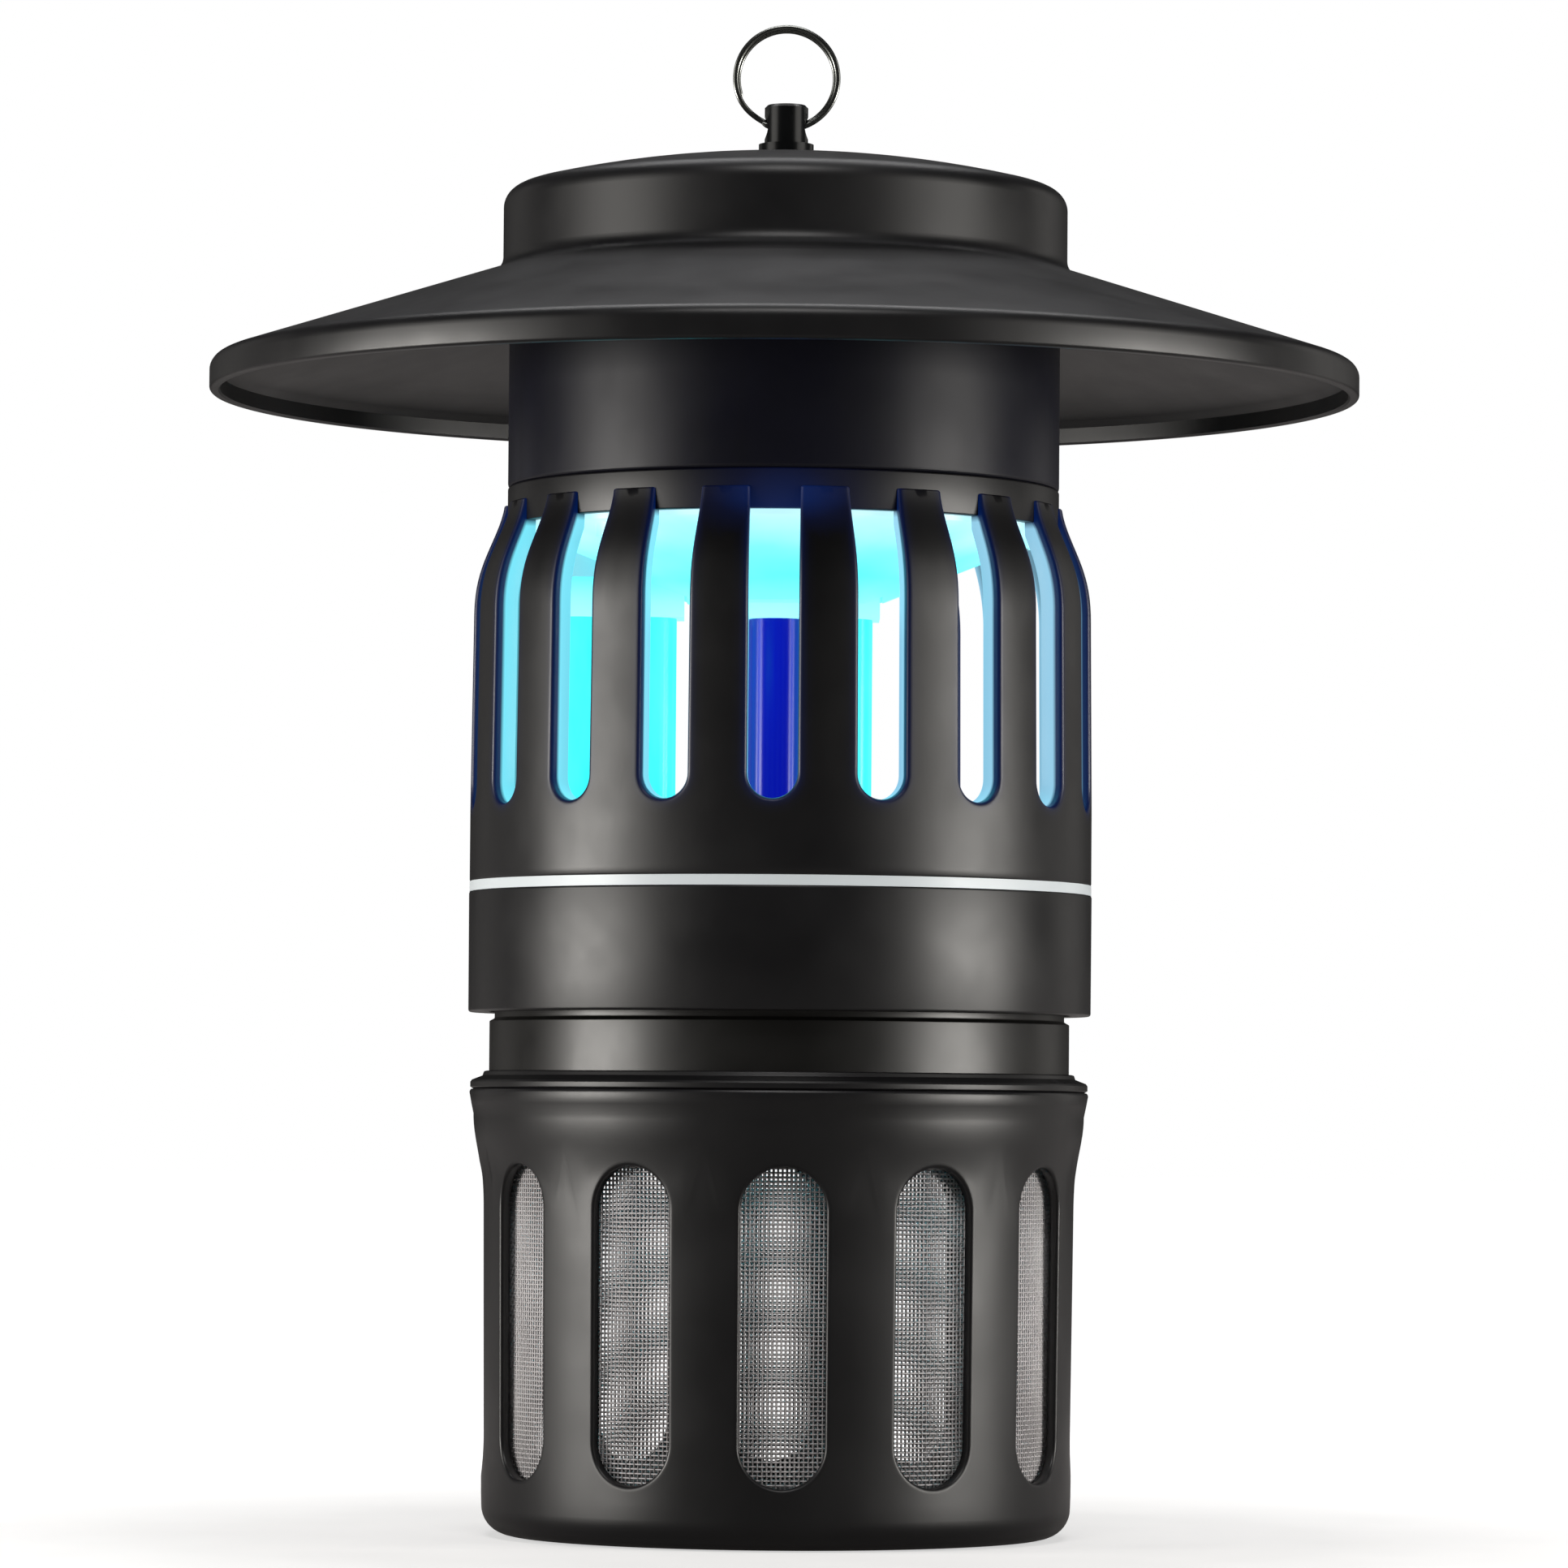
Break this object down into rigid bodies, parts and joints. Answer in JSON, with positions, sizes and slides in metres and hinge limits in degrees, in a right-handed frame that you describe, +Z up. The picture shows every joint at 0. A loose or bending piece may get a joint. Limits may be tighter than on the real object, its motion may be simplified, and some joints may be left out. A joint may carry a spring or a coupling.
{
  "type": "hanging ultraviolet fan insect trap",
  "caption": "Hanging insect trap: hat-shaped rain roof, slotted cage with U-shaped ultraviolet lamps, suction fan under a white funnel, and a mesh-lined catch basket that pulls off.",
  "frame": {"origin": "centre of the basket's flat base, on the trap's vertical axis", "axes": "+Z up along the trap's axis, -Y to the front (the side the picture shows), +X to the viewer's right"},
  "size_m": [0.25, 0.25, 0.3285],
  "materials": {
    "charcoal_plastic": "charcoal, satin, fine moulded grain",
    "gloss_black_plastic": "glossy black",
    "white_plastic": "bluish white",
    "lamp_glass": "ultraviolet lamp glass, lit cyan to deep blue",
    "zinc_steel": "zinc plated",
    "ring_steel": "polished spring steel",
    "mesh_steel": "fine woven steel gauze",
    "black_rubber": "semi-matte black",
    "board_green": "lacquered circuit board",
    "core_iron": "varnished laminated iron and copper winding",
    "capacitor_blue": "blue sleeve",
    "motor_aluminium": "drawn can",
    "bush_brass": "sintered bronze",
    "fan_plastic": "moulded fan"
  },
  "bodies": {
    "housing": {"roof_hat": "charcoal_plastic", "ring_post": "gloss_black_plastic", "post_washer": "zinc_steel", "post_nut": "zinc_steel", "neck_housing": "charcoal_plastic", "cord_gland": "black_rubber", "ballast_board": "board_green", "board_screws": "zinc_steel", "ballast_choke": "core_iron", "capacitor": "capacitor_blue", "terminal_block": "white_plastic", "lamp_plate": "white_plastic", "plate_screws": "zinc_steel", "lamp_sockets": "white_plastic", "lamp_bases": "white_plastic", "lamp_tubes": "lamp_glass", "cage_collar": "charcoal_plastic", "cage_ribs": "charcoal_plastic", "cage_band": "charcoal_plastic", "cage_screws": "zinc_steel", "attractant_funnel": "white_plastic", "fan_skirt": "charcoal_plastic", "fan_duct": "gloss_black_plastic", "motor_bracket": "zinc_steel", "bracket_screws": "zinc_steel", "motor_can": "motor_aluminium", "motor_end_cap": "motor_aluminium", "motor_stator": "core_iron", "motor_bushes": "bush_brass", "motor_lead": "black_rubber"},
    "ring": {"hang_ring": "ring_steel"},
    "fan": {"motor_shaft": "zinc_steel", "motor_rotor": "core_iron", "fan_impeller": "fan_plastic", "impeller_clip": "zinc_steel"},
    "seal": {"basket_seal": "black_rubber"},
    "basket": {"basket_cup": "charcoal_plastic", "mesh_liner": "mesh_steel", "mesh_hoops": "mesh_steel"}
  },
  "joints": [
    {"name": "ring_swing", "type": "hinge", "parent": "housing", "child": "ring", "pos_m": [0, 0, 0.306], "axis": [1, 0, 0], "range_deg": [-100, 100]},
    {"name": "fan_spin", "type": "hinge", "parent": "housing", "child": "fan", "pos_m": [0, 0, 0.1], "axis": [0, 0, 1], "continuous": true},
    {"name": "basket_drop", "type": "slide", "parent": "housing", "child": "seal", "axis": [0, 0, -1], "range_m": [0, 0.06]},
    {"name": "basket_turn", "type": "hinge", "parent": "seal", "child": "basket", "pos_m": [0, 0, 0.09], "axis": [0, 0, 1], "continuous": true}
  ]
}
